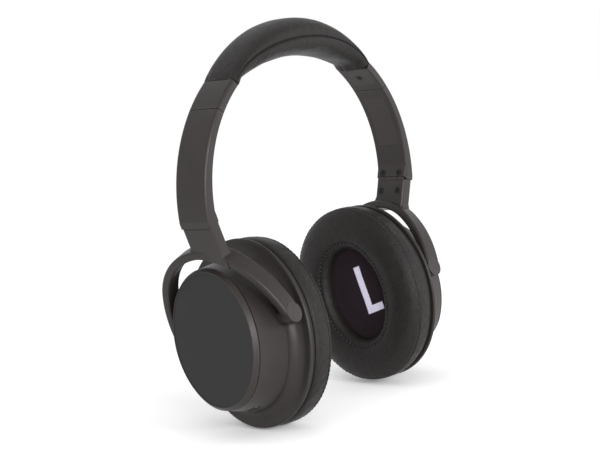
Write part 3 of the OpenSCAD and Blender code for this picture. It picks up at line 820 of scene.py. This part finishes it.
def band_station(phi):
    """The headband pad at an angle from the top.

    Gives the crest point, the inward direction, the thickness, the seam's share of it and the width.
    """
    a = math.radians(phi)
    crest = np.array([CREST_R * math.sin(a), CREST_C + CREST_R * math.cos(a)])
    inward = -np.array([math.sin(a), math.cos(a)])
    to_centre = crest - np.array([0.0, UNDER_C])
    b = to_centre @ inward
    c = to_centre @ to_centre - UNDER_R ** 2
    share = abs(phi) / END_ANGLE
    thin = THIN_TOP + THIN_MORE * share ** 2
    thickness = -b - math.sqrt(max(b * b - c, 0.0)) if c > 0 else thin
    thickness = max(thickness, thin)
    seam = 0.52 - 0.20 * min(1.0, share * 1.2) ** 2
    width = PAD_END_W + (PAD_W - PAD_END_W) * math.cos(a * 90 / END_ANGLE) ** 1.3
    return crest, inward, thickness, seam, width


def superellipse(t, power):
    c, s = math.cos(t), math.sin(t)
    return math.copysign(abs(c) ** (2 / power), c), math.copysign(abs(s) ** (2 / power), s)


def to_band(x, z, y):
    return (x * MM, (y - BAND_BACK) * MM, (z + BAND_Z) * MM)


def band_skin(top):
    """The upper sleeve (top) or the lower cushion of the headband as a grid of half sections."""
    points = []
    for i in range(BAND_ROWS):
        phi = -END_ANGLE + 2 * END_ANGLE * i / (BAND_ROWS - 1)
        crest, inward, thick, seam, width = band_station(phi)
        middle = crest + inward * thick * seam
        rise = -thick * seam if top else thick * (1 - seam)
        for j in range(BAND_COLUMNS):
            t = math.pi * j / (BAND_COLUMNS - 1)
            c, s = superellipse(t, SLEEVE_POWER if top else CUSHION_POWER)
            p = middle + inward * rise * s
            points.append(to_band(p[0], p[1], c * width / 2))
    return np.array(points).reshape(BAND_ROWS, BAND_COLUMNS, 3)


def band_creases(co, columns):
    """Small creases over the skin and puckers where it is gathered at its ends, in millimetres."""
    amount = np.zeros((BAND_ROWS, columns))
    arc = 2 * END_ANGLE * math.radians(1) * CREST_R
    for i in range(BAND_ROWS):
        from_end = min(i, BAND_ROWS - 1 - i) / (BAND_ROWS - 1) * arc
        gather = math.exp(-((from_end / GATHER_REACH) ** 2))
        which_end = 0 if i < BAND_ROWS / 2 else 9
        for j in range(columns):
            x, y, z = co[i * columns + j]
            across = y / MM
            pucker = 0.6 * noise.noise(Vector((across * 0.42, which_end, 2.0)))
            crease = 0.35 * noise.noise(Vector((x * 90, across * 0.2, z * 90)))
            amount[i, j] = pucker * gather * 1.3 + crease * 0.12
    amount[:2] *= 0.3
    amount[-2:] *= 0.3
    return amount


def make_band():
    """Sleeve and cushion as one closed skin, simulated together with the side seams pinned.

    Gives the object and its two seam lines, each as (points, outward directions).
    """
    top, low = band_skin(True), band_skin(False)
    loop = np.concatenate([top, low[:, ::-1][:, 1:-1]], axis=1)
    columns = loop.shape[1]
    middle = loop.mean(axis=1, keepdims=True)
    seams = (0, BAND_COLUMNS - 1)
    for s in seams:
        loop[:, s] += (middle[:, 0] - loop[:, s]) * SEAM_DRAW
    faces = grid_faces(BAND_ROWS, columns, False, True) + end_caps(BAND_ROWS, columns)
    mesh = mesh_of("headband_cover", loop.reshape(-1, 3), faces)
    work = new_object("headband_cover", mesh, M["leatherette"])
    pins = np.zeros((BAND_ROWS, columns))
    pins[:3] = pins[-3:] = 1.0
    for s in seams:
        pins[:, s] = 1.0
    simulate(work, pins.ravel(), BAND_PRESSURE, BAND_CAP * MM, BAND_GROW)
    shape, normals = push_out(work, band_creases(coords(work.data), columns))
    lines = [(shape[2:-2, s], normals[2:-2, s]) for s in seams]
    subdivide_once(work)
    return work, lines


band, band_seams = make_band()
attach(band, "headband")
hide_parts("band_sleeve", "band_cushion")

for place, line in zip(("front", "back"), band_seams):
    tube = seam_tube("seam", line, 0.45, closed=False)
    seam = new_object(f"headband_seam_{place}", tube, SEAM)
    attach(seam, "headband")


# ---------- floor, lights and camera ----------

FLOOR = 3.0
FLOOR_CORNERS = [(-FLOOR, -FLOOR, 0), (FLOOR, -FLOOR, 0), (FLOOR, FLOOR, 0), (-FLOOR, FLOOR, 0)]
floor_mesh = mesh_of("floor", FLOOR_CORNERS, [(0, 1, 2, 3)])
floor_material = Nodes("floor_white")
floor_tone = floor_material.ramp(floor_material.noise(6.0), [(0.0, 0.93), (1.0, 0.96)])
floor_material.link(floor_tone, "Base Color")
floor_material.set(Roughness=0.9, Specular_IOR_Level=0.1, Emission_Strength=0.12)
floor_material.shader.inputs["Emission Color"].default_value = (1, 1, 1, 1)
floor = new_object("floor", floor_mesh, floor_material.material, smooth=False)

# A white studio that is a little darker overhead: (height in the sky, colour)
SKY = ((0.12, (1.0, 1.0, 1.0, 1)), (0.75, (0.93, 0.93, 0.94, 1)))
world = bpy.data.worlds.new("studio")
bpy.context.scene.world = world
world.use_nodes = True
sky = world.node_tree
sky_way = sky.nodes.new("ShaderNodeTexCoord")
sky_split = sky.nodes.new("ShaderNodeSeparateXYZ")
sky_fade = sky.nodes.new("ShaderNodeValToRGB")
for stop, (height, colour) in zip(sky_fade.color_ramp.elements, SKY):
    stop.position, stop.color = height, colour
sky.links.new(sky_way.outputs["Generated"], sky_split.inputs[0])
sky.links.new(sky_split.outputs["Z"], sky_fade.inputs["Fac"])
sky.links.new(sky_fade.outputs["Color"], sky.nodes["Background"].inputs["Color"])
sky.nodes["Background"].inputs["Strength"].default_value = 1.0
bpy.context.scene.view_settings.view_transform = "Standard"


def softbox(name, place, size, power):
    """A square area light aimed at the middle of the headset, in metres and watts."""
    light = bpy.data.lights.new(name, "AREA")
    light.shape = "SQUARE"
    light.size = size
    light.energy = power
    o = bpy.data.objects.new(name, light)
    o.location = place
    o.rotation_euler = (MIDDLE - Vector(place)).to_track_quat("-Z", "Y").to_euler()
    bpy.context.scene.collection.objects.link(o)


MIDDLE = Vector((0.0, 0.0, 0.09))
softbox("key", (-0.78, -0.98, 0.42), 0.45, 7.0)
softbox("front", (-0.28, -1.15, 0.42), 0.3, 6.0)
softbox("fill", (0.80, -0.80, 0.30), 0.5, 1.5)

# The camera looks at AIM from an azimuth and an elevation, rolled, and is moved in its own plane
AZIMUTH, ELEVATION, ROLL = math.radians(-49.128), math.radians(6.824), math.radians(-6.624)
DISTANCE, MOVE_RIGHT, MOVE_UP = 731.79, -2.902, -10.24
LENS, SENSOR = 85.419, 36.0
AIM = Vector((0.0, -BAND_BACK, BAND_Z))
flat = math.cos(ELEVATION)
back = Vector((math.sin(AZIMUTH) * flat, -math.cos(AZIMUTH) * flat, math.sin(ELEVATION)))
level = Vector((math.cos(AZIMUTH), math.sin(AZIMUTH), 0.0))
up = back.cross(level)
right = math.cos(ROLL) * level + math.sin(ROLL) * up
above = -math.sin(ROLL) * level + math.cos(ROLL) * up
camera_data = bpy.data.cameras.new("camera")
camera_data.sensor_width = SENSOR
camera_data.lens = LENS
camera_data.clip_start = 0.05
camera = bpy.data.objects.new("camera", camera_data)
placed = Matrix((right, above, back)).transposed().to_4x4()
placed.translation = (back * DISTANCE + right * MOVE_RIGHT + above * MOVE_UP + AIM) * MM
camera.matrix_world = placed
bpy.context.scene.collection.objects.link(camera)
bpy.context.scene.camera = camera
